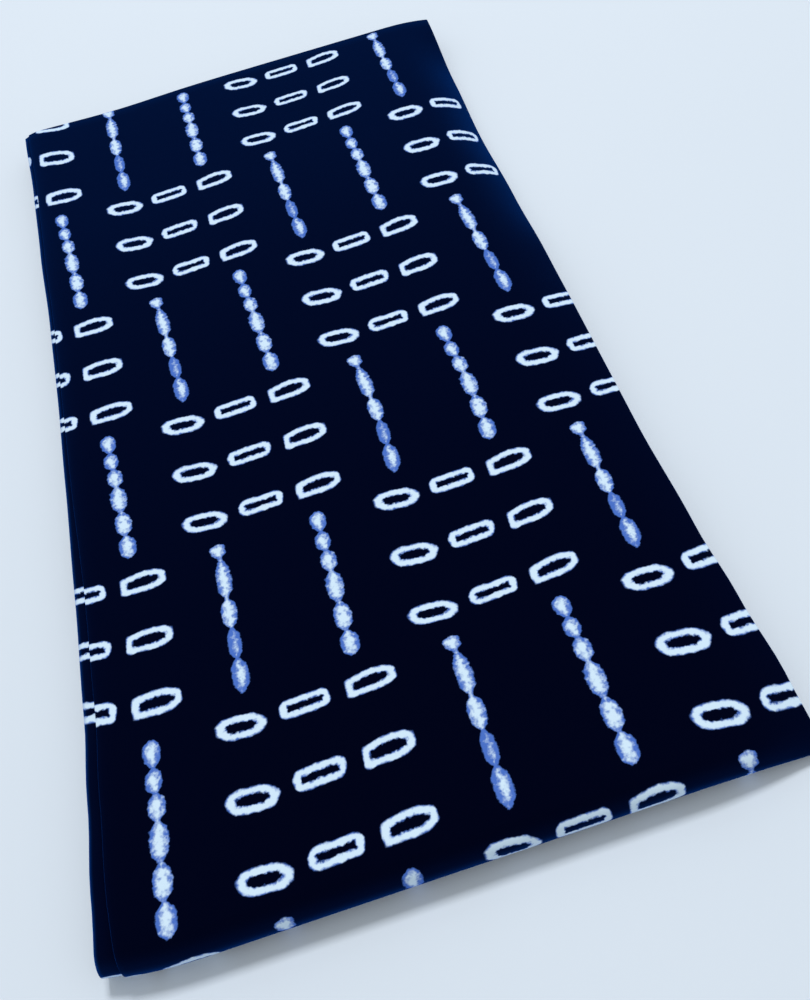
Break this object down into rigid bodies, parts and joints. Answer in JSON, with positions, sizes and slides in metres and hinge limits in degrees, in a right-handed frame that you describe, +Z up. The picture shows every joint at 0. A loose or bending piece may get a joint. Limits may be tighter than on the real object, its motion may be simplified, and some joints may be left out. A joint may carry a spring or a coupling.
{
  "type": "folded ankara fabric",
  "caption": "Length of navy resist-patterned printed cotton, folded in quarters lengthwise and then back and forth into a flat oblong pack.",
  "frame": {"origin": "middle of the pack's underside, on the surface that it rests on", "axes": "+Y along the pack towards its back folds, +X across it towards the smooth outer fold, +Z up"},
  "size_m": [0.3052, 0.5606, 0.02],
  "materials": {
    "printed_cotton": "plain-woven cotton, near-black navy ground printed with pale blue-white resist rings and bead chains"
  },
  "bodies": {
    "root": {"folded_cloth": "printed_cotton"}
  },
  "joints": []
}
